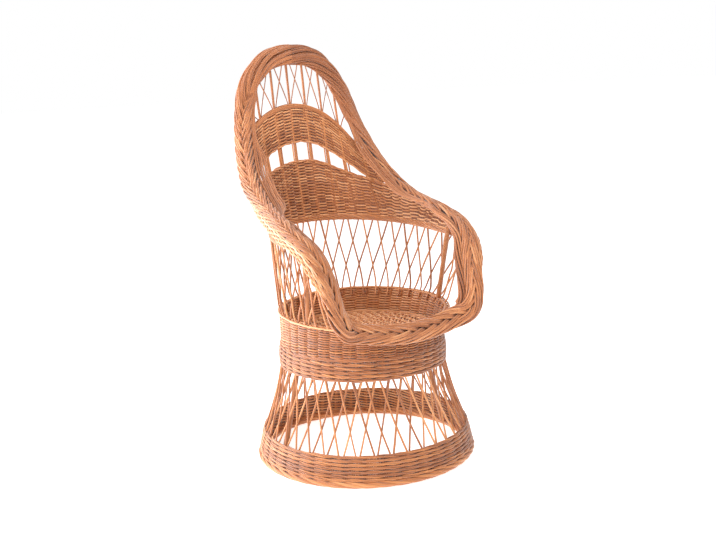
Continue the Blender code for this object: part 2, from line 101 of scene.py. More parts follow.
class Rods:
    """Willow rods gathered strand by strand, then built as one mesh."""

    def __init__(self, sides=6):
        self.sides = sides
        self.strands = []

    def add(self, path, radius, normal, closed=False, tone=None, rough=0.05, seed=None, start=0.0):
        P = np.asarray(path, float)
        n = len(P)
        if closed:
            T = unit(np.roll(P, -1, 0) - np.roll(P, 1, 0))
            step = np.linalg.norm(np.roll(P, -1, 0) - P, axis=1)
            along = np.concatenate(([0.0], np.cumsum(step)))
        else:
            T = unit(np.gradient(P, axis=0))
            step = np.linalg.norm(np.diff(P, axis=0), axis=1)
            along = np.concatenate(([0.0], np.cumsum(step)))
        N = np.broadcast_to(np.asarray(normal, float), P.shape)
        N = unit(N - T * (T * N).sum(1, keepdims=True))
        B = np.cross(T, N)
        r = np.broadcast_to(np.asarray(radius, float), (n,)).copy()
        if rough and not closed:
            r *= 1 + rough * drift(n, along[-1], 0.03)
        elif rough:
            turn = np.arange(n) / n * 2 * PI
            for k in (5, 9, 14):
                r *= 1 + rough * 0.6 * np.sin(k * turn + RNG.uniform(0, 2 * PI))
        spin = RNG.uniform(0, 2 * PI)
        a = spin + np.arange(self.sides) / self.sides * 2 * PI
        ring = (P[:, None, :] + r[:, None, None]
                * (np.cos(a)[None, :, None] * N[:, None, :] + np.sin(a)[None, :, None] * B[:, None, :]))
        co = ring.reshape(-1, 3)
        if not closed:
            co = np.vstack((co, P[0] - T[0] * r[0] * 0.6, P[-1] + T[-1] * r[-1] * 0.6))
        if tone is None:
            tone = RNG.uniform(0.15, 0.85)
        if seed is None:
            seed = RNG.uniform(0, 1)
        shade = np.repeat(np.broadcast_to(np.asarray(tone, float), (n,)), self.sides)
        if not closed:
            shade = np.append(shade, (shade[0], shade[-1]))
        self.strands.append((co, n, closed, along + start, shade, float(seed)))

    def build(self, name):
        S = self.sides
        cos_, faces_v, faces_n, uv_s, uv_b, tones, seeds = [], [], [], [], [], [], []
        total = sum(s[1] + (0 if s[2] else 1) for s in self.strands)
        cols = max(1, math.ceil(math.sqrt(total * 2.2)))
        rows = math.ceil(total / cols)
        base, cell = 0, 0
        for co, n, closed, along, tone, seed in self.strands:
            cos_.append(co)
            tones.append(tone)
            seeds.append(np.full(len(co), seed))
            segs = n if closed else n - 1
            i = np.arange(segs)[:, None]
            j = np.arange(S)[None, :]
            i2, j2 = (i + 1) % n, (j + 1) % S
            quad = np.stack(np.broadcast_arrays(i * S + j, i * S + j2, i2 * S + j2, i2 * S + j), -1)
            faces_v.append((quad.reshape(-1) + base))
            faces_n.append(np.full(segs * S, 4))
            shift = seed * 7.0
            u0 = np.broadcast_to((along[:segs] + shift)[:, None], (segs, S))
            u1 = np.broadcast_to((along[1:segs + 1] + shift)[:, None], (segs, S))
            v0 = np.broadcast_to(j / S, (segs, S))
            v1 = v0 + 1.0 / S
            uv_s.append(np.stack((u0, v0, u0, v1, u1, v1, u1, v0), -1).reshape(-1))
            c = cell + (0 if closed else 1) + np.arange(segs)
            cu = ((c % cols) / cols)[:, None]
            cv = ((c // cols) / rows)[:, None]
            bu0 = np.broadcast_to(cu, (segs, S))
            bu1 = bu0 + 1.0 / cols
            bv0 = cv + (0.06 + 0.88 * v0) / rows
            bv1 = cv + (0.06 + 0.88 * v1) / rows
            uv_b.append(np.stack((bu0, bv0, bu0, bv1, bu1, bv1, bu1, bv0), -1).reshape(-1))
            if not closed:
                j1 = np.arange(S)
                first = np.stack((np.full(S, n * S), (j1 + 1) % S, j1), -1)
                last = np.stack((np.full(S, n * S + 1), (n - 1) * S + j1, (n - 1) * S + (j1 + 1) % S), -1)
                ca, cb = cell, cell
                for tri, at, half in ((first, along[0], 0.0), (last, along[-1], 0.5)):
                    faces_v.append(tri.reshape(-1) + base)
                    faces_n.append(np.full(S, 3))
                    vv = j1 / S
                    w = 1.0 / S
                    flip = (vv + w, vv) if half == 0.0 else (vv, vv + w)
                    uv_s.append(np.stack((np.full(S, at + shift + 0.003), vv + w / 2, np.full(S, at + shift), flip[0],
                                          np.full(S, at + shift), flip[1]), -1).reshape(-1))
                    eu = (cell % cols) / cols + (half + 0.02) / cols
                    ev = (cell // cols) / rows
                    uv_b.append(np.stack((np.full(S, eu + 0.44 / cols), ev + (0.06 + 0.88 * (vv + w / 2)) / rows,
                                          np.full(S, eu), ev + (0.06 + 0.88 * flip[0]) / rows,
                                          np.full(S, eu), ev + (0.06 + 0.88 * flip[1]) / rows), -1).reshape(-1))
            base += len(co)
            cell += n if closed else n
        co = np.concatenate(cos_) + AXIS
        loops = np.concatenate(faces_v).astype(np.int32)
        sizes = np.concatenate(faces_n)
        starts = np.concatenate(([0], np.cumsum(sizes)[:-1])).astype(np.int32)
        mesh = bpy.data.meshes.new(name)
        mesh.vertices.add(len(co))
        mesh.vertices.foreach_set("co", co.astype(np.float32).reshape(-1))
        mesh.loops.add(len(loops))
        mesh.loops.foreach_set("vertex_index", loops)
        mesh.polygons.add(len(sizes))
        mesh.polygons.foreach_set("loop_start", starts)
        mesh.update(calc_edges=True)
        for layer, values in (("Strand", uv_s), ("OFBake", uv_b)):
            uv = mesh.uv_layers.new(name=layer)
            uv.data.foreach_set("uv", np.concatenate(values).astype(np.float32))
        for label, values in (("tone", tones), ("seed", seeds)):
            data = mesh.attributes.new(label, "FLOAT", "POINT")
            data.data.foreach_set("value", np.concatenate(values).astype(np.float32))
        mesh.shade_smooth()
        obj = bpy.data.objects.new(name, mesh)
        bpy.context.scene.collection.objects.link(obj)
        return obj


# ------------------------------------------------------------------ willow
def ramp_stops(ramp, stops):
    while len(ramp.elements) > 1:
        ramp.elements.remove(ramp.elements[-1])
    ramp.elements[0].position = stops[0][0]
    ramp.elements[0].color = (*stops[0][1], 1.0)
    for at, colour in stops[1:]:
        e = ramp.elements.new(at)
        e.color = (*colour, 1.0)


def willow(name, stops, speck, gloss):
    """Peeled willow: long streaks along each rod, blotches, dark specks at the buds."""
    mat = bpy.data.materials.new(name)
    mat.use_nodes = True
    nt = mat.node_tree
    nt.nodes.clear()
    out = nt.nodes.new("ShaderNodeOutputMaterial")
    bsdf = nt.nodes.new("ShaderNodeBsdfPrincipled")
    nt.links.new(bsdf.outputs["BSDF"], out.inputs["Surface"])
    bsdf.inputs["Specular IOR Level"].default_value = 0.55
    bsdf.inputs["Sheen Weight"].default_value = 0.55
    bsdf.inputs["Sheen Roughness"].default_value = 0.45
    uv = nt.nodes.new("ShaderNodeUVMap")
    uv.uv_map = "Strand"
    tone = nt.nodes.new("ShaderNodeAttribute")
    tone.attribute_name = "tone"
    seed = nt.nodes.new("ShaderNodeAttribute")
    seed.attribute_name = "seed"
    split = nt.nodes.new("ShaderNodeSeparateXYZ")
    nt.links.new(uv.outputs["UV"], split.inputs[0])

    def math_(op, a, b=None):
        node = nt.nodes.new("ShaderNodeMath")
        node.operation = op
        for slot, value in ((0, a), (1, b)):
            if value is None:
                continue
            if isinstance(value, (int, float)):
                node.inputs[slot].default_value = value
            else:
                nt.links.new(value, node.inputs[slot])
        return node.outputs[0]

    # the turn round the rod is wound on a circle, so the grain has no seam
    turn = math_("MULTIPLY", split.outputs["Y"], 2 * PI)
    ca, sa = math_("COSINE", turn), math_("SINE", turn)
    deep = math_("MULTIPLY", seed.outputs["Fac"], 61.0)

    def noise(along, across, detail, rough):
        comb = nt.nodes.new("ShaderNodeCombineXYZ")
        nt.links.new(math_("MULTIPLY", split.outputs["X"], along), comb.inputs[0])
        nt.links.new(math_("MULTIPLY", ca, across), comb.inputs[1])
        nt.links.new(math_("ADD", math_("MULTIPLY", sa, across), deep), comb.inputs[2])
        node = nt.nodes.new("ShaderNodeTexNoise")
        node.inputs["Scale"].default_value = 1.0
        node.inputs["Detail"].default_value = detail
        node.inputs["Roughness"].default_value = rough
        nt.links.new(comb.outputs[0], node.inputs["Vector"])
        return node.outputs["Fac"]

    streak = noise(26.0, 1.4, 2.5, 0.55)
    blotch = noise(11.0, 0.35, 2.0, 0.5)
    fine = noise(110.0, 3.0, 2.0, 0.5)
    buds = noise(75.0, 0.9, 1.0, 0.5)
    level = math_("ADD", math_("MULTIPLY", tone.outputs["Fac"], 0.62),
                  math_("ADD", math_("MULTIPLY", streak, 0.42), math_("MULTIPLY", blotch, 0.42)))
    level = math_("SUBTRACT", level, 0.23)
    ramp = nt.nodes.new("ShaderNodeValToRGB")
    ramp_stops(ramp.color_ramp, stops)
    nt.links.new(level, ramp.inputs["Fac"])
    mark = nt.nodes.new("ShaderNodeMapRange")
    mark.inputs["From Min"].default_value = 0.66
    mark.inputs["From Max"].default_value = 0.76
    mark.inputs["To Min"].default_value = 0.0
    mark.inputs["To Max"].default_value = 0.50
    nt.links.new(buds, mark.inputs["Value"])
    mix = nt.nodes.new("ShaderNodeMix")
    mix.data_type = "RGBA"
    mix.inputs["B"].default_value = (*speck, 1.0)
    nt.links.new(mark.outputs["Result"], mix.inputs["Factor"])
    nt.links.new(ramp.outputs["Color"], mix.inputs["A"])
    nt.links.new(mix.outputs["Result"], bsdf.inputs["Base Color"])
    shine = nt.nodes.new("ShaderNodeMapRange")
    shine.inputs["To Min"].default_value = gloss
    shine.inputs["To Max"].default_value = gloss + 0.26
    nt.links.new(streak, shine.inputs["Value"])
    nt.links.new(shine.outputs["Result"], bsdf.inputs["Roughness"])
    bump = nt.nodes.new("ShaderNodeBump")
    bump.inputs["Strength"].default_value = 0.10
    bump.inputs["Distance"].default_value = 0.0006
    nt.links.new(math_("ADD", fine, math_("MULTIPLY", streak, 0.8)), bump.inputs["Height"])
    nt.links.new(bump.outputs["Normal"], bsdf.inputs["Normal"])
    return mat


WEAVE = willow("willow_weave", ((0.0, (0.060, 0.016, 0.004)), (0.10, (0.222, 0.060, 0.012)),
                                (0.38, (0.420, 0.132, 0.032)), (0.62, (0.585, 0.214, 0.060)),
                                (0.90, (0.780, 0.378, 0.160))),
               (0.105, 0.034, 0.012), 0.38)
PLAIT = willow("willow_plait", ((0.0, (0.050, 0.013, 0.0035)), (0.10, (0.230, 0.061, 0.0140)),
                                (0.36, (0.400, 0.126, 0.0340)), (0.62, (0.545, 0.196, 0.0620)),
                                (0.88, (0.715, 0.335, 0.1400)), (1.0, (0.860, 0.560, 0.3600))),
               (0.100, 0.032, 0.011), 0.40)
POST = willow("willow_post", ((0.10, (0.255, 0.076, 0.019)), (0.40, (0.430, 0.148, 0.043)),
                              (0.65, (0.540, 0.210, 0.070)), (0.90, (0.650, 0.305, 0.128))),
              (0.120, 0.040, 0.012), 0.34)


def piece(bundle, name, nodes, material):
    obj = bundle.build(name)
    obj.data.materials.append(material)
    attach(obj, "root")
    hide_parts(*nodes)
    return obj


# ------------------------------------------------------------------ weaves
def wale(bundle, place, stakes, height, radius, depth, shift, tones=(0.0, 0.65), samples=12, wander=0.0004, rear=0.0):
    """One closed row of three-rod waling: each rod passes in front of two stakes and behind one.

    place(turn, up) gives points and outward normals.
    """
    count = stakes * samples
    turn = np.arange(count) / count * 2 * PI
    at = turn / (2 * PI) * stakes
    for j in range(3):
        w = np.mod(at + shift - j, 3.0)
        d = np.minimum(w, 3.0 - w)
        back = np.where(d < 1.0, 0.5 * (1 + np.cos(PI * d)), 0.0)
        out = depth * (1 - 2 * back)
        reach = 0.275 * height
        ahead = reach * np.tanh(1.9 * (w - 1.5))
        fall = np.where(w > 2.5, w - 2.5, w + 0.5)
        behind = reach * math.tanh(1.9) * (1 - 2 * smooth(fall))
        up = np.where((w >= 0.5) & (w <= 2.5), ahead, behind)
        for k, a in ((3 + j, 1.0), (11 + 2 * j, 0.8), (29 + 3 * j, 0.6)):
            up = up + wander * a * np.sin(turn * k + RNG.uniform(0, 6.28))
        P, N = place(turn, up)
        # rear lifts the tone of the back half of the row: painted light on the back wall
        bundle.add(P + N * out[:, None], radius * RNG.uniform(0.94, 1.06), N, True,
                   tone=RNG.uniform(*tones) + rear * smooth(np.cos(turn) + 0.3))


def rope(bundle, P, N, closed, turns, strands, wide, deep, radius, tones=(0.3, 0.8), hand=1.0):
    """Strands twisted round a line: wide across the surface, deep along its normal."""
    n = len(P)
    T = unit(np.roll(P, -1, 0) - np.roll(P, 1, 0)) if closed else unit(np.gradient(P, axis=0))
    N = np.broadcast_to(np.asarray(N, float), P.shape)
    B = unit(np.cross(T, N))
    share = np.arange(n) / n if closed else np.linspace(0, 1, n)
    for j in range(strands):
        a = hand * 2 * PI * (turns * share + j / strands)
        bundle.add(P + N * (deep * np.cos(a))[:, None] + B * (wide * np.sin(a))[:, None], radius, N, closed,
                   tone=RNG.uniform(*tones), rough=0.03)


def lathe(profile, inset):
    """Placer for a turned band: height above the row is measured along the wall."""
    z = np.array([p[0] for p in profile])
    r = np.array([p[1] for p in profile]) - inset
    fit = np.polyfit(z, r, min(2, len(z) - 1))
    slope = np.polyder(fit)

    def at(level):
        def place(turn, up):
            zz = level + up
            rr = np.polyval(fit, zz)
            k = np.polyval(slope, zz)
            P = np.stack((rr * np.sin(turn), rr * np.cos(turn), np.broadcast_to(zz, turn.shape)), -1)
            N = unit(np.stack((np.sin(turn), np.cos(turn), np.broadcast_to(-k, turn.shape)), -1))
            return P, N
        return place
    return at


# ------------------------------------------------------------------ base
foot = lathe(FOOT_PROFILE, BAND_HALF)
waist = lathe(WAIST_PROFILE, BAND_HALF)

STAKES = 39
b = Rods()
for k in range(7):
    # the foot band's rows are lighter at the back: painted light
    wale(b, foot(0.0226 + k * 0.0092), STAKES, 0.0092, 0.00218, 0.0041, k, rear=0.50)
for c in range(STAKES):
    for side in (-1, 1):
        turn = np.full(10, c / STAKES * 2 * PI + side * 0.0022 / 0.285)
        P, N = foot(0.0)(turn, np.linspace(0.016, 0.079, 10))
        b.add(P, 0.0022, N)
    # filler rods between the stakes, darkened: painted shade in the gaps of the weave
    for j in range(1, 9):
        P, N = foot(0.0)(np.full(5, (c + 0.05 + j / 10) / STAKES * 2 * PI), np.linspace(0.018, 0.078, 5))
        b.add(P, 0.0023, N, tone=-0.20)
piece(b, "foot_band_weave", ["foot_band"], WEAVE)

b = Rods(8)
for k in range(7):
    count = 480
    turn = np.linspace(0, 2 * PI, count, endpoint=False)
    coil = 6 * turn + k / 7 * 2 * PI
    rr = 0.2836 + 0.0118 * np.cos(coil)
    zz = 0.0104 + 0.0066 * np.sin(coil)
    P = np.stack((rr * np.sin(turn), rr * np.cos(turn), zz), -1)
    N = np.stack((np.sin(turn), np.cos(turn), 0 * turn), -1)
    b.add(P, 0.0038, N, True, tone=RNG.uniform(0.3, 0.75), rough=0.03)
piece(b, "foot_border_roll", ["foot_border"], WEAVE)


def base_place(column, share, off):
    turn = column * PITCH + BASE_PHASE
    z = 0.066 + 0.210 * share
    s = np.clip((z - 0.08) / 0.182, -0.1, 1.1)
    r = 0.2735 - 0.054 * s - 0.006 * np.sin(PI * np.clip(s, 0, 1)) + off
    P = np.stack((r * np.sin(turn), r * np.cos(turn), z), -1)
    N = np.stack((np.sin(turn), np.cos(turn), 0 * turn + 0.3), -1)
    return P, N


b = Rods(7)
share = np.linspace(0, 1, 34)
for c in range(40):
    for side in (1, -1):
        s = np.clip((share * 0.210 - 0.014) / 0.182, 0, 1.05)
        jig = RNG.uniform(-0.05, 0.05)
        col = c + jig + side * (0.10 + 1.2 * s + 0.10 * s ** 3)
        col = col + 0.02 * drift(len(share), 0.2, 0.05)
        P, N = base_place(col, share, side * 0.0021)
        b.add(P, RNG.uniform(0.0023, 0.0029) * (1 - 0.08 * share), N)
piece(b, "base_lattice_rods", ["base_lattice"], WEAVE)

b = Rods()
for k in range(6):
    wale(b, waist(0.2628 + k * 0.0100), STAKES, 0.0100, 0.00236, 0.0041, k + 1)
for c in range(STAKES):
    for side in (-1, 1):
        turn = np.full(10, c / STAKES * 2 * PI + side * 0.0021 / 0.222)
        P, N = waist(0.0)(turn, np.linspace(0.259, 0.318, 10))
        b.add(P, 0.0021, N)
    # filler rods between the stakes, darkened: painted shade in the gaps of the weave
    for j in range(1, 8):
        P, N = waist(0.0)(np.full(5, (c + 0.055 + j / 9) / STAKES * 2 * PI), np.linspace(0.260, 0.317, 5))
        b.add(P, 0.0020, N, tone=-0.20)
piece(b, "waist_band_weave", ["waist_band"], WEAVE)


def neck(z):
    low = 0.222 + 0.0018 * ((0.345 - z) / 0.029) ** 2
    return np.where(z < 0.345, low, 0.222 + 0.008 * (np.maximum(z - 0.345, 0) / 0.063) ** 1.3)


def seat_place(turn, share, up=0.0):
    y = 0.23 * np.cos(turn)
    z = WAIST_TOP + share * (0.4075 + 0.049 * np.minimum(y, 0) + 0.022 * np.maximum(y, 0) - WAIST_TOP) + up
    r = neck(z) - 0.006
    shift = 0.018 * np.maximum(0, share - 0.33) / 0.67
    P = np.stack((r * np.sin(turn), r * np.cos(turn) - shift, z), -1)
    N = unit(np.stack((np.sin(turn), np.cos(turn), 0 * turn - 0.12), -1))
    return P, N


b = Rods()
ROWS = 24
turn = np.linspace(0, 2 * PI, 480, endpoint=False)
for k in range(ROWS):
    s = (k + 0.5) / (ROWS + 1.2)
    wave = np.cos(turn * 20 + PI * k)
    wave = np.tanh(1.7 * wave) / math.tanh(1.7)
    up = 0.0003 * np.sin(turn * (5 + k % 4) + RNG.uniform(0, 6.28)) + 0.0003 * np.sin(turn * (17 + k % 5) + RNG.uniform(0, 6.28))
    P, N = seat_place(turn, np.full_like(turn, s), up)
    # each row is lighter towards the back: painted light on the inside of the back wall
    b.add(P + N * (0.0040 * wave)[:, None], 0.00228 * RNG.uniform(0.95, 1.05), N, True,
          tone=RNG.uniform(0.10, 0.60) + 0.66 * smooth(np.cos(turn) + 0.4))
P, N = seat_place(turn, np.full_like(turn, 0.965))
rope(b, P, N, True, 40, 2, 0.0022, 0.0030, 0.0024, tones=(0.75, 0.95))
P, N = seat_place(turn, np.full_like(turn, 0.985), 0.0004 * np.sin(turn * 23))
b.add(P + N * 0.0062, 0.0024, N, True, tone=1.15)
b.add(P - N * 0.0050, 0.0024, N, True, tone=0.8)
for c in range(40):
    for side in (-1, 1):
        share = np.linspace(0.0, 0.98, 12)
        P, N = seat_place(np.full(12, c / 40 * 2 * PI + side * 0.0021 / 0.22), share)
        b.add(P, 0.0021, N)
    # filler rods between the stakes: darkened as painted shade in the gaps, lighter towards the back as painted light
    for j in range(1, 8):
        at = (c + 0.055 + j / 9) / 40 * 2 * PI
        P, N = seat_place(np.full(6, at), np.linspace(0.01, 0.96, 6))
        b.add(P, 0.0020, N, tone=-0.20 + 0.60 * smooth(math.cos(at) + 0.3))
piece(b, "seat_band_weave", ["seat_band"], WEAVE)


# ------------------------------------------------------------------ seat
def ring(radius, z, count):
    turn = np.arange(count) / count * 2 * PI
    return np.stack((radius * np.sin(turn), radius * np.cos(turn), np.full(count, z)), -1)


b = Rods()
UP = np.array([0.0, 0.0, 1.0])
for k in range(12):
    radius = 0.0455 + k * 0.0127
    turns = round(2 * PI * radius / (0.027 if k > 4 else 0.022))
    count = turns * 11
    sway = np.arange(count) / count * 2 * PI
    for j in range(2):
        a = (1.0 if k % 2 else -1.0) * (turns * sway + PI * j)
        P = ring(radius, SEAT_MID_Z + 0.0003, count)
        out = unit(P * np.array([1.0, 1.0, 0.0]))
        P = P + out * (0.0034 * np.sin(a))[:, None] + UP * (0.0034 * np.cos(a))[:, None]
        b.add(P, 0.0028, UP, True, tone=(1.08 if j else 0.48) + RNG.uniform(-0.12, 0.18), rough=0.03)
for c in range(30):
    a = c / 30 * 2 * PI
    r = np.linspace(0.066 if c % 2 else 0.028, 0.186, 10)
    P = np.stack((r * math.sin(a), r * math.cos(a), np.full(10, SEAT_MID_Z - 0.0024)), -1)
    b.add(P, 0.0023, UP)
for side in (0, 1):
    for k in range(6):
        t = np.linspace(-0.036, 0.036, 15)
        o = (k - 2.5) * 0.0056
        lift = np.where(np.abs(t) < 0.018, 0.0021 if side else -0.0021, 0.0)
        P = np.stack((t, np.full(15, o), SEAT_MID_Z + lift), -1)
        if side:
            P = P[:, [1, 0, 2]]
        b.add(P, 0.0026, UP)
# a layer of dark rings under the seat weave: painted shade under the seat, seen through its gaps
for k in range(37):
    radius = 0.0040 + k * 0.0051
    b.add(ring(radius, SEAT_MID_Z - 0.0030, int(40 + radius * 700)), 0.0029, UP, True, tone=RNG.uniform(-0.15, 0.10))
piece(b, "seat_weave_rods", ["seat_weave"], WEAVE)

b = Rods(7)
turn = np.linspace(0, 2 * PI, 480, endpoint=False)
for k, (radius, z) in enumerate(((0.1915, 0.3405), (0.1975, 0.3425), (0.2030, 0.3405), (0.1945, 0.3345), (0.2005, 0.3345))):
    P = np.stack((radius * np.sin(turn), radius * np.cos(turn), z + 0.0006 * np.sin(15 * turn + k)), -1)
    b.add(P, 0.0029, (0, 0, 1), True, tone=RNG.uniform(0.4, 0.85))
piece(b, "seat_rim_rods", ["seat_rim"], WEAVE)

b = Rods(8)
P = np.stack((0.201 * np.sin(turn), 0.201 * np.cos(turn), np.full_like(turn, 0.323)), -1)
b.add(P, 0.0056, (0, 0, 1), True)
piece(b, "seat_hoop_rod", ["seat_hoop"], POST)
for label, x in (("left", -0.075), ("right", 0.075)):
    b = Rods(8)
    y = np.linspace(-0.176, 0.176, 24)
    P = np.stack((x + 0.0012 * drift(24, 0.35, 0.1), y, np.full(24, 0.323)), -1)
    b.add(P, 0.0060, (0, 0, 1))
    piece(b, f"seat_bearer_{label}_rod", [f"seat_bearer_{label}"], POST)


# ------------------------------------------------------------------ border line
def border_line(count):
    right = [np.array((*c, *f, h)) for c, f, h in BORDER_STATIONS]
    flip = np.array((-1, 1, 1, -1, 1, 1, 1), float)
    ring = right + [q * flip for q in reversed(right[1:-1])]
    n, fine = len(ring), []
    for i in range(n):
        p0, p1, p2, p3 = (ring[(i + k) % n] for k in (-1, 0, 1, 2))
        for j in range(24):
            t = j / 24
            fine.append(0.5 * (2 * p1 + (p2 - p0) * t + (2 * p0 - 5 * p1 + 4 * p2 - p3) * t * t
                               + (3 * p1 - p0 - 3 * p2 + p3) * t ** 3))
    fine = np.array(fine + fine[:1])
    s = np.concatenate(([0], np.cumsum(np.linalg.norm(np.diff(fine[:, :3], axis=0), axis=1))))
    want = np.arange(count) / count * s[-1]
    row = np.stack([np.interp(want, s, fine[:, k]) for k in range(7)], -1)
    C = row[:, :3]
    T = unit(np.roll(C, -1, 0) - np.roll(C, 1, 0))
    N = row[:, 3:6]
    N = unit(N - T * (T * N).sum(1, keepdims=True))
    W = np.cross(T, N)
    return C, T, N, W, row[:, 6], s[-1], want


# ------------------------------------------------------------------ back surface
def back_axis(z):
    h = z - 0.605
    return 0.288 + 0.285 * h - 0.2455 * h * h


def back_width(z):
    return 0.221 + 0.019 * smooth((z - 0.605) / 0.09)


def back_depth(z):
    return 0.2895 * smooth((0.98 - z) / 0.34) ** 1.35


def sheet(phi, z, off=0.0):
    side = np.sign(phi)
    turn = np.minimum(np.abs(phi), PI / 2)
    past = np.abs(phi) - turn
    w, d = back_width(z), back_depth(z)
    P = np.stack((side * w * np.sin(turn), back_axis(z) - d * (1 - np.cos(turn)) - 0.40 * past, z), -1)
    N = unit(np.stack((side * np.sin(turn) * np.maximum(d, 0.02), np.cos(turn) * w, 0 * z), -1))
    return P + N * np.asarray(off)[..., None], N


def sheet_x(x, z, off=0.0):
    return sheet(np.arcsin(np.clip(x / back_width(z), -1, 1)), z, off)


def panel_top(x):
    return 0.777 - 1.9 * x * x


def crescent_foot(x):
    return panel_top(x) + 0.0006 + (0.053 - 0.3 * x * x) * np.sqrt(np.maximum(0, 1 - (x / 0.197) ** 4))


def crescent_top(x):
    return 0.938 - 3.3 * x * x


def rail_point(phi):
    side = np.sign(phi)
    turn = np.minimum(np.abs(phi), PI / 2)
    past = np.abs(phi) - turn
    return np.stack((side * (0.221 * np.sin(turn) + 0.004 * past), 0.2895 * np.cos(turn) - 0.40 * past,
                     0.599 + 0.011 * np.cos(turn) - 0.012 * past), -1)


def rail_normal(phi):
    side = np.sign(phi)
    turn = np.minimum(np.abs(phi), PI / 2)
    return unit(np.stack((side * np.sin(turn) * 0.2895, np.cos(turn) * 0.221, 0 * turn), -1))


# where the sheet meets the border: height against the turn round the back
_C = border_line(1600)[0]
_half = _C[:int(1600 * 0.36)]


def border_turn(p):
    x, y, z = p
    w, d = back_width(z), back_depth(z)
    rear = back_axis(z) - d
    if d < 0.03:
        return math.asin(min(1.0, x / w))
    if y < rear:
        return PI / 2 + (rear - y) / 0.40
    return math.atan2(x / w, (y - rear) / d)


_turn = np.maximum.accumulate(np.array([border_turn(p) for p in _half]))


def border_z(phi):
    return np.interp(np.abs(phi), _turn, _half[:, 2])


def border_z_at_x(x):
    keep = _half[:, 2] > 0.80
    return np.interp(np.abs(x), _half[keep, 0], _half[keep, 2])


# ------------------------------------------------------------------ arm rail and wall lattice
b = Rods()
END = math.radians(117)


phi = np.linspace(-END, END, 260)
rope(b, rail_point(phi), rail_normal(phi), False, 6.5, 7, 0.0066, 0.0038, 0.0027, tones=(0.3, 0.85))
piece(b, "arm_rail_weave", ["arm_rail"], WEAVE)


def arm_front(phi):
    """Point on the front of the arm, on the border's centre line, for turns past the rail's end."""
    share = (np.abs(phi) - END) / math.radians(85)
    front = _C[:800]
    start = int(np.argmin(np.abs(front[:, 1] + 0.186) + (front[:, 2] < 0.55)))
    stop = int(np.argmin(np.abs(front[:, 2] - 0.425) + (front[:, 1] > 0)))
    idx = start + np.clip(share, 0, 1) * (stop - start)
    P = np.stack([np.interp(idx, np.arange(800), front[:, k]) for k in range(3)], -1)
    P[..., 0] *= np.sign(phi)
    return P


def wall_top(phi):
    P = rail_point(np.clip(phi, -END, END))
    Q = arm_front(phi)
    over = (np.abs(phi) > END)[..., None]
    return np.where(over, Q, P)


def wall_place(column, share, off):
    """Lattice point: the columns spread and step round towards the rail."""
    phi = math.radians(0.55) + math.radians(9.34) * column
    y0 = 0.2262 * np.cos(phi)
    z0 = 0.4035 + 0.049 * np.minimum(y0, 0) + 0.022 * np.maximum(y0, 0)
    A = np.stack((0.2262 * np.sin(phi), 0.2262 * np.cos(phi) - 0.018, z0), -1)
    head = np.clip(1.112 * phi + math.radians(9.3), -math.radians(150), math.radians(150))
    Bp = wall_top(head)
    P = A + (Bp - A) * share[:, None]
    mid = 0.5 * (phi + head)
    N = unit(np.stack((np.sin(mid), np.cos(mid), 0 * mid), -1))
    return P + N * off, N


b = Rods(7)
for c in range(-16, 16):
    for side in (1, -1):
        head = 9.9 + 1.112 * 9.34 * (c + 1.385 * side)
        if head < -138 or head > 130 or abs(0.55 + 9.34 * (c + 0.11 * side)) > 137:
            continue
        share = np.linspace(-0.09, 1.0, 32)
        sc = np.clip(share, 0, 1)
        total = 0.11 + 1.275 * sc - 0.045 * np.sin(2 * PI * sc) * (1 - 0.6 * sc)
        col = c + RNG.uniform(-0.04, 0.04) + side * total + 0.012 * drift(32, 0.2, 0.06)
        P, N = wall_place(col, share, side * 0.0021)
        # the feet go down inside the weave of the seat band
        P = P - N * (0.0050 * (1 - smooth(share / 0.12)) + 0.0030 * np.clip(-share / 0.05, 0, 1))[:, None]
        b.add(P, RNG.uniform(0.0022, 0.0027), N)
piece(b, "wall_lattice_rods", ["arm_back_lattice"], WEAVE)


# ------------------------------------------------------------------ woven back panels
def stake_count(phi, z):
    """Stake index along a row: whole numbers on the stakes."""
    w = back_width(z)
    x = w * np.sin(np.clip(phi, -PI / 2, PI / 2))
    inside = x / STAKE_STEP + 0.5
    edge = np.arcsin(0.17 / w)
    more = (np.abs(phi) - edge) * 0.245 / STAKE_STEP
    outside = np.sign(phi) * (0.17 / STAKE_STEP + np.maximum(more, 0)) + 0.5
    return np.where(np.abs(x) <= 0.17, inside, outside)


def reversed_rank(n):
    bits = max(1, math.ceil(math.log2(n)))
    order = [int(format(i, f"0{bits}b")[::-1], 2) for i in range(2 ** bits)]
    order = [o for o in order if o < n]
    rank = np.zeros(n)
    for place, row in enumerate(order):
        rank[row] = place
    return rank


def flare(phi, z):
    """The side walls lean out to meet the outer edge of the plait."""
    return 0.020 * smooth((np.abs(phi) - math.radians(66)) / math.radians(26)) * smooth((z - 0.602) / 0.036)


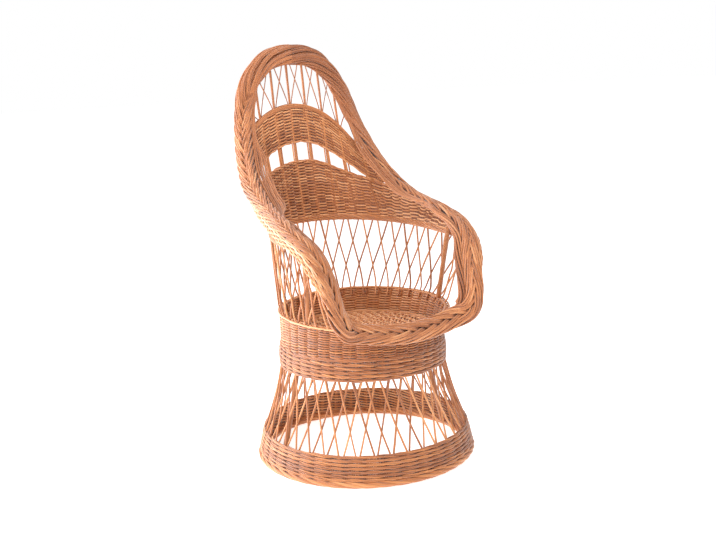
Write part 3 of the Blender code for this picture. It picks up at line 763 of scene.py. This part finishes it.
def panel(bundle, reach, lower, upper, pitch, radius, bulge=None):
    phi = np.linspace(-reach, reach, 350)
    D, U = lower(phi), upper(phi)
    H = np.maximum(U - D, 0.0)
    rows = int(round(H.max() / pitch))
    want = H / pitch
    rank = reversed_rank(rows)
    act = smooth((want[None, :] - rank[:, None]) / 1.0)
    act[rank < 2] = np.maximum(act[rank < 2], 0.25)
    order = np.cumsum(act, 0) - act / 2
    mid = order / np.maximum(act.sum(0), 1e-6)
    for k in range(rows):
        on = np.where(act[k] > 0.06)[0]
        if len(on) < 12:
            continue
        sel = slice(on[0], on[-1] + 1)
        p = phi[sel]
        z = D[sel] + mid[k][sel] * H[sel] + 0.0004 * drift(len(p), 0.5, 0.06)
        wave = np.cos(2 * PI * stake_count(p, z) + PI * order[k][sel])
        wave = np.tanh(1.6 * wave) / math.tanh(1.6) * (1 - 0.55 * smooth((np.abs(p) - 0.95) / 0.5)) * (1 - 0.45 * smooth((p + 0.1) / 0.6))
        P, N = sheet(p, z, 0.0046 * wave + (bulge(p, z) if bulge else 0.0))
        r = radius * RNG.uniform(0.93, 1.08) * (0.45 + 0.55 * act[k][sel])
        # rows are lighter towards the sides, more on the right: painted light
        bundle.add(P, r, N, tone=RNG.uniform(0.15, 1.05) + np.where(p > 0, 0.48, 0.30) * smooth((np.abs(p) - 0.8) / 0.5))
    # short stakes inside the weave, between the long ones, darkened as painted shade of the recesses behind the rows
    spots = [0.0]
    while spots[-1] < reach - 0.03:
        spots.append(spots[-1] + (0.0150 if spots[-1] < 0.45 else 0.0100))
    for p in sorted([-s for s in spots[1:]] + spots):
        a, c = float(np.interp(p, phi, D)), float(np.interp(p, phi, U))
        if c - a < 0.012:
            continue
        z = np.linspace(a + 0.003, c - 0.003, 7)
        q = np.full(7, p)
        P, N = sheet(q, z, bulge(q, z) if bulge else 0.0)
        bundle.add(P, 0.0022, N, tone=-0.10)


def twine(bundle, reach, edge, drop, radius):
    phi = np.linspace(-reach, reach, 420)
    z = edge(phi) + drop
    wave = np.cos(2 * PI * stake_count(phi, z))
    cross = np.sin(2 * PI * stake_count(phi, z))
    for side in (1, -1):
        P, N = sheet(phi, z + 0.0016 * side * cross, 0.0058 * side * wave)
        bundle.add(P, radius, N, tone=RNG.uniform(0.45, 0.9))


def x_of(phi):
    return 0.24 * np.sin(np.clip(phi, -PI / 2, PI / 2))


def sag(x):
    """The open row between the panels runs lower on the right."""
    return 0.0125 * smooth((x - 0.02) / 0.10) * (1 - smooth((x - 0.125) / 0.095))


def lower_top(phi):
    return np.minimum(panel_top(x_of(phi)) - sag(x_of(phi)), border_z(phi) - 0.004)


def lower_foot(phi):
    return np.minimum(rail_point(phi)[:, 2] + 0.0060, lower_top(phi))


b = Rods()
panel(b, math.radians(116), lower_foot, lower_top, 0.0041, 0.00228, flare)
twine(b, math.radians(66), lower_top, -0.0012, 0.0024)
piece(b, "lower_panel_weave", ["lower_panel_front", "lower_panel_rear"], WEAVE)


def tilt(x):
    return -0.105 * np.clip(x, -0.13, 0.16) - 2.2 * np.clip(x - 0.075, 0, 0.095) ** 2


def upper_top(phi):
    return np.minimum(crescent_top(x_of(phi)) + tilt(x_of(phi)), border_z(phi) - 0.002)


def upper_foot(phi):
    foot_z = np.where(np.abs(x_of(phi)) < 0.197, crescent_foot(x_of(phi)) + 0.75 * np.minimum(tilt(x_of(phi)), 0),
                      panel_top(x_of(phi)) + 0.004)
    return np.minimum(np.maximum(foot_z, panel_top(x_of(phi)) + 0.003) - sag(x_of(phi)), upper_top(phi))


b = Rods()
panel(b, math.radians(80), upper_foot, upper_top, 0.0042, 0.00232)
for drop in (0.0004, 0.0045, 0.0086):
    phi = np.linspace(-math.radians(46), math.radians(46), 200)
    for side in (1, -1):
        P, N = sheet(phi, upper_top(phi) - drop + 0.0003 * drift(200, 0.4, 0.05), np.full(200, side * 0.0062))
        b.add(P, 0.0023, N, tone=RNG.uniform(0.1, 0.6))
twine(b, math.radians(54), upper_foot, 0.0012, 0.0024)
piece(b, "crescent_weave", ["crescent_front", "crescent_rear"], WEAVE)

# ------------------------------------------------------------------ stakes and fan
THIN = 0.0058


def tuck(P, top, x):
    """Bends the head of a rod back from the sheet into the middle of the border."""
    keep = _half[:, 2] > 0.80
    rear = np.interp(np.abs(x), _half[keep, 0], _half[keep, 1]) + 0.002
    near = sheet_x(np.atleast_1d(x), np.atleast_1d(top))[0][0, 1]
    share = np.clip((P[:, 2] - (top - 0.16)) / 0.16, 0, 1)
    P[:, 1] += (rear - near) * share ** 1.3
    P[:, 0] += 0.007 * share
    return P


def fan(bundle, xa, xb):
    """Two thin rods that leave neighbouring stakes and cross on the way to the border."""
    for side, (a, c) in ((1, (xa + THIN, xb - THIN)), (-1, (xb - THIN, xa + THIN))):
        z0 = float(crescent_top(a) + tilt(a)) - 0.03
        z1 = float(border_z_at_x(c)) - 0.002
        z = np.linspace(z0, z1, 26)
        t = np.clip((z - z0 - 0.03) / (z1 - z0 - 0.03), 0, 1)
        x = a + (c - a) * (0.75 * t + 0.25 * smooth(t))
        P, N = sheet_x(x, z, np.full(26, side * 0.0024))
        # the fan rods are kept dark: painted shade
        bundle.add(tuck(P, z1, c), RNG.uniform(0.0015, 0.0018), N, tone=RNG.uniform(-0.05, 0.25))


for k, x in enumerate(STAKE_X):
    b = Rods(8)
    z = np.linspace(0.603, float(border_z_at_x(x)), 60)
    P, N = sheet_x(np.full(60, x) + 0.0008 * drift(60, 0.45, 0.12), z)
    # on the right the weave lies flatter over the stakes, and there their lower part is darkened as painted shade; each
    # stake's head is darkened towards the border, painted shade
    covered_shade = 0.45 * (1 - smooth((z - panel_top(x) + sag(x) + 0.012) / 0.010)) * (x > 0)
    b.add(tuck(P, z[-1], x), 0.0035, N, tone=RNG.uniform(0.35, 0.7) - 0.35 * smooth((z - 0.88) / 0.06) - covered_shade)
    for side in (1, -1):
        z = np.linspace(0.603, float(crescent_top(x) + tilt(x)) - 0.01, 44)
        P, N = sheet_x(np.full(44, x + side * THIN) + 0.0005 * drift(44, 0.35, 0.1), z)
        b.add(P, RNG.uniform(0.0019, 0.0023), N)
    if k == 0:
        fan(b, STAKE_X[0], STAKE_X[1])
    if k == 7:
        fan(b, STAKE_X[6], STAKE_X[7])
    piece(b, f"back_stake_{k + 1}_rods", [f"back_stake_{k + 1}"], WEAVE)
for k in range(5):
    b = Rods(7)
    fan(b, STAKE_X[k + 1], STAKE_X[k + 2])
    piece(b, f"fan_cross_{k + 1}_rods", [f"fan_cross_{k + 1}"], WEAVE)


# ------------------------------------------------------------------ posts
def post(name, a, c, radius):
    b = Rods(10)
    t = np.linspace(0, 1, 40)[:, None]
    P = np.array(a) + (np.array(c) - np.array(a)) * t
    P[:, 0] += 0.0012 * drift(40, 0.25, 0.06)
    P[:, 1] += 0.0012 * drift(40, 0.25, 0.06)
    r = radius * (1 + 0.05 * drift(40, 0.25, 0.05))
    r *= 1 + 0.14 * np.exp(-((t[:, 0] - 0.42) / 0.03) ** 2) + 0.10 * np.exp(-((t[:, 0] - 0.78) / 0.025) ** 2)
    b.add(P, r, (0.3, 1.0, 0.1), tone=0.45)
    piece(b, f"{name}_rod", [name], POST)


for label, side, deg, arm_deg in (("left", -1, 96, 111), ("right", 1, 84, 100)):
    a = math.radians(deg)
    foot_at = (side * 0.2655 * math.sin(a), 0.2655 * math.cos(a), 0.0215)
    head_at = (side * 0.197 * math.sin(a), 0.197 * math.cos(a), 0.296)
    post(f"base_post_{label}", foot_at, head_at, 0.0066)
    p = math.radians(arm_deg)
    arm_foot = (side * 0.2146 * math.sin(p), 0.2146 * math.cos(p) - 0.018, 0.408 + 0.049 * 0.2146 * math.cos(p) + 0.002)
    q = rail_point(np.array([side * math.radians(107)]))[0]
    post(f"arm_post_{label}", arm_foot, (q[0] - side * 0.0112, q[1], q[2] + 0.024), 0.0066)

# ------------------------------------------------------------------ plaited border
COUNT = 1000
C, T, N, W, half, LENGTH, along = border_line(COUNT)
ts = np.minimum(along, LENGTH - along) / LENGTH
right_side = along < LENGTH / 2
over = smooth((ts - 0.20) / 0.05) * (1 - smooth((ts - 0.29) / 0.04))
front = smooth((ts - 0.29) / 0.04) * (1 - smooth((ts - 0.41) / 0.035))
half = half * (1 - 0.14 * over - np.where(right_side, 0.28, 0.12) * front)
C = C + W * (0.003 * over - np.where(right_side, 0.0100, 0.0020) * front)[:, None]
# painted shade: the arch is darker than the rest, its right side darker and further down
arch_shade = 1 - 0.42 * (1 - smooth((ts - 0.045) / 0.08)) - np.where(right_side, 0.36 * (1 - smooth((ts - 0.12) / 0.08)), 0.0)
wave_length = np.interp(along / LENGTH,
                        (0.0, 0.055, 0.165, 0.25, 0.31, 0.39, 0.44, 0.56, 0.60, 0.70, 0.75, 0.885, 0.945, 1.0),
                        (0.60, 0.60, 0.50, 0.32, 0.38, 0.38, 0.34, 0.34, 0.32, 0.30, 0.27, 0.28, 0.60, 0.60))
rate = 2 * PI / wave_length
phase = np.concatenate(([0], np.cumsum(rate)[:-1])) * (LENGTH / COUNT)
full = phase[-1] + rate[-1] * LENGTH / COUNT
phase *= round(full / (2 * PI)) * 2 * PI / full

STRANDS, PER = 9, 3
arch = 1 - smooth((ts - 0.05) / 0.055)
# down the right side the rods still lie side by side, in one slow turn
twist = np.maximum(arch, np.where(right_side, 1 - smooth((ts - 0.17) / 0.07), 0.0))
rods = []
everywhere = np.ones(COUNT)
for strand in range(STRANDS):
    t = phase + strand * 2 * PI / STRANDS + 0.09 * arch * np.sin(1.7 * phase + 2.4 * strand)
    lat = (half - 0.0088 + 0.0048 * arch) * np.sin(t)
    beta = np.arctan((np.roll(lat, -1) - np.roll(lat, 1)) / (2 * LENGTH / COUNT))
    lift = (1 - twist) * np.tanh(1.6 * np.sin(2 * t)) / math.tanh(1.6) - twist * np.tanh(2.5 * np.cos(t)) / math.tanh(2.5)
    shade = RNG.uniform(0.15, 0.85)
    for j in range(PER):
        o = (j - (PER - 1) / 2) * 0.0054 * (1 - 0.34 * arch) + 0.0005 * np.sin(phase * 1.37 + j * 2.1 + strand)
        l = lat + o * np.cos(beta)
        n = lift * 0.0124 * np.sqrt(np.maximum(0.03, 1 - (l / (half + 0.002 + 0.003 * arch)) ** 2))
        n = n + (0.0018 if j == 1 else -0.0006) * arch * lift
        n = n + 0.0006 * np.sin(phase * 2.3 + 1.7 * j + 0.9 * strand) + 0.0005 * np.sin(phase * 5.1 + 2.9 * j + strand)
        P = C + W * l[:, None] - T * (o * np.sin(beta))[:, None] + N * n[:, None]
        rods.append((P, 0.0029 * RNG.uniform(0.94, 1.05) * (1 - 0.16 * arch), np.clip(shade + RNG.uniform(-0.20, 0.20), 0.05, 1.0) * arch_shade,
                     RNG.uniform(0, 1), everywhere))
# core rods in the middle of the plait are dark, painted shade in the gaps between strands, less dark on the arch and
# the upper right side
for share, r in ((-0.66, 0.0040), (-0.34, 0.0050), (0.0, 0.0050), (0.34, 0.0050), (0.66, 0.0040)):
    close = np.where(right_side, 1 - smooth((ts - 0.24) / 0.06), 0.0)
    rods.append((C + W * (half * share)[:, None], r * (1 + 0.40 * np.maximum(arch, close)), -0.30 + 0.55 * np.maximum(arch, close),
                 RNG.uniform(0, 1), everywhere))
# rods that run beside the plait, inside it along the back panels
beside = 0.3 * smooth((ts - 0.05) / 0.03) + 0.7 * smooth((ts - 0.115) / 0.05)
beside = beside * (1 - smooth((ts - 0.235) / 0.05))
for j in range(6):
    l = half - 0.006 + (0.0085 + 0.0050 * j) * beside + 0.0011 * np.sin(along * (31 + 5 * j) + 2 * j)
    deep = (0.003 + 0.0030 * j) * beside + 0.0012 * np.sin(along * (23 + 7 * j) + j)
    P = C + W * l[:, None] - N * deep[:, None]
    rods.append((P, 0.0025 * RNG.uniform(0.9, 1.1), RNG.uniform(0.15, 0.8) * arch_shade, RNG.uniform(0, 1), beside))
# a loose twist of rods inside the arm fronts, round a few straight ones
inner = smooth((ts - 0.27) / 0.04) * (1 - smooth((ts - 0.422) / 0.025)) * np.where(right_side, 1.0, 0.6)
for j in range(7):
    a = along * 2 * PI / 0.36 + j * 2 * PI / 7
    l = half - 0.006 + (0.0125 + 0.0090 * np.sin(a)) * inner
    deep = (0.0040 + 0.0050 * np.cos(a)) * inner
    P = C + W * l[:, None] - N * deep[:, None]
    rods.append((P, 0.0030 * RNG.uniform(0.92, 1.08), RNG.uniform(0.15, 0.80) + 0 * ts, RNG.uniform(0, 1), inner))
# the straight rods inside the twist are dark: painted shade
for reach in (0.004, 0.008, 0.012, 0.016):
    P = C + W * (half - 0.006 + reach * inner)[:, None] - N * (0.0040 * inner)[:, None]
    rods.append((P, 0.0034, -0.35 + 0 * ts, RNG.uniform(0, 1), inner))
# and outside, round the edge of the arms, woven over short stake ends
outside = smooth((ts - 0.20) / 0.05) * (1 - smooth((ts - 0.375) / 0.03))
for j in range(5):
    turn = np.radians(20 + 21.0 * j)
    swell = 0.0120 + 0.0014 * np.cos(along * 2 * PI / 0.036 + PI * j)
    l = -(half - 0.008) - swell * np.sin(turn) * outside
    n = 0.006 * outside - swell * (1 - np.cos(turn)) * outside
    P = C + W * l[:, None] + N * n[:, None]
    # on the left these rods are lighter: painted highlight
    rods.append((P, 0.0025 * RNG.uniform(0.93, 1.07), RNG.uniform(0.55, 0.95) + np.where(right_side, 0.0, 0.30), RNG.uniform(0, 1), outside))

MARKS = {"border_top": (-9, 9), "border_side_right": (9, 19), "border_arm_right": (19, 26),
         "border_front": (26, 38), "border_arm_left": (38, 45), "border_side_left": (45, 55)}
for name, (first, last) in MARKS.items():
    run = np.arange(round(first / 64 * COUNT) - 1, round(last / 64 * COUNT) + 2)
    i = run % COUNT
    b = Rods()
    for P, r, tone, seed, shown in rods:
        if shown[i].max() > 0.02:
            b.add(P[i], np.broadcast_to(r, (COUNT,))[i], N[i], tone=tone[i], rough=0.03, seed=seed, start=float(run[0] * LENGTH / COUNT))
    piece(b, f"{name}_plait", [name], PLAIT)

b = Rods(8)
P = C[::2]
b.add(P, 0.0046, N[::2], True, tone=0.3)
piece(b, "border_hoop_rod", ["border_hoop"], POST)

# ------------------------------------------------------------------ stage
floor_mesh = bpy.data.meshes.new("floor")
floor_mesh.from_pydata([(-30, -30, 0), (30, -30, 0), (30, 30, 0), (-30, 30, 0)], [], [(0, 1, 2, 3)])
floor = bpy.data.objects.new("floor", floor_mesh)
bpy.context.scene.collection.objects.link(floor)
paper = bpy.data.materials.new("pale_paper")
paper.use_nodes = True
shader = paper.node_tree.nodes["Principled BSDF"]
shader.inputs["Base Color"].default_value = (0.93, 0.93, 0.925, 1)
shader.inputs["Roughness"].default_value = 0.9
shader.inputs["Specular IOR Level"].default_value = 0.1
shader.inputs["Emission Color"].default_value = (1.0, 1.0, 1.0, 1)
shader.inputs["Emission Strength"].default_value = 0.74
floor_mesh.materials.append(paper)

world = bpy.data.worlds.new("studio")
world.use_nodes = True
bpy.context.scene.world = world
sky = world.node_tree.nodes["Background"]
sky.inputs["Color"].default_value = (1.0, 1.0, 1.0, 1)
path = world.node_tree.nodes.new("ShaderNodeLightPath")
level = world.node_tree.nodes.new("ShaderNodeMapRange")
level.inputs["To Min"].default_value = 0.42
level.inputs["To Max"].default_value = 1.0
world.node_tree.links.new(path.outputs["Is Camera Ray"], level.inputs["Value"])
world.node_tree.links.new(level.outputs["Result"], sky.inputs["Strength"])


def area(name, at, aim, size, power, colour=(1, 1, 1)):
    data = bpy.data.lights.new(name, "AREA")
    data.shape = "DISK"
    data.size = size
    data.energy = power
    data.color = colour
    lamp = bpy.data.objects.new(name, data)
    z = unit(np.array(at, float) - np.array(aim, float))
    x = unit(np.cross((0, 0, 1.0), z))
    y = np.cross(z, x)
    m = np.eye(4)
    m[:3, 0], m[:3, 1], m[:3, 2], m[:3, 3] = x, y, z, at
    lamp.matrix_world = Matrix(m.tolist())
    bpy.context.scene.collection.objects.link(lamp)


area("key", (-2.3, -1.3, 1.6), (0, 0, 0.6), 1.4, 35.0, (0.97, 0.98, 1.0))
area("sheen", (-2.3, 1.4, 1.3), (0, 0, 0.6), 2.2, 135.0, (0.90, 0.95, 1.0))
area("top", (0.2, -0.9, 2.9), (0, 0, 0.4), 2.0, 34.0)
area("fill", (0.6, -3.0, 1.3), (0, 0, 0.5), 2.0, 12.0)

# ------------------------------------------------------------------ camera
a, yaw, pitch_down, roll = math.radians(-27), 0.0015, math.radians(11.26), math.radians(-2.33)
eye = np.array([2.728 * math.sin(a), -2.728 * math.cos(a), 1.046]) + AXIS
az = a + yaw
fwd = np.array([-math.sin(az) * math.cos(pitch_down), math.cos(az) * math.cos(pitch_down), -math.sin(pitch_down)])
right = np.array([math.cos(az), math.sin(az), 0.0])
up = np.cross(right, fwd)
r2 = math.cos(roll) * right + math.sin(roll) * up
u2 = -math.sin(roll) * right + math.cos(roll) * up
m = np.eye(4)
m[:3, 0], m[:3, 1], m[:3, 2], m[:3, 3] = r2, u2, -fwd, eye
camera = bpy.data.cameras.new("camera")
camera.sensor_fit = "HORIZONTAL"
camera.sensor_width = 36.0
camera.lens = 1034.5 / 716 * 36.0
cam = bpy.data.objects.new("camera", camera)
cam.matrix_world = Matrix(m.tolist())
bpy.context.scene.collection.objects.link(cam)
bpy.context.scene.camera = cam
bpy.context.scene.view_settings.view_transform = "Standard"
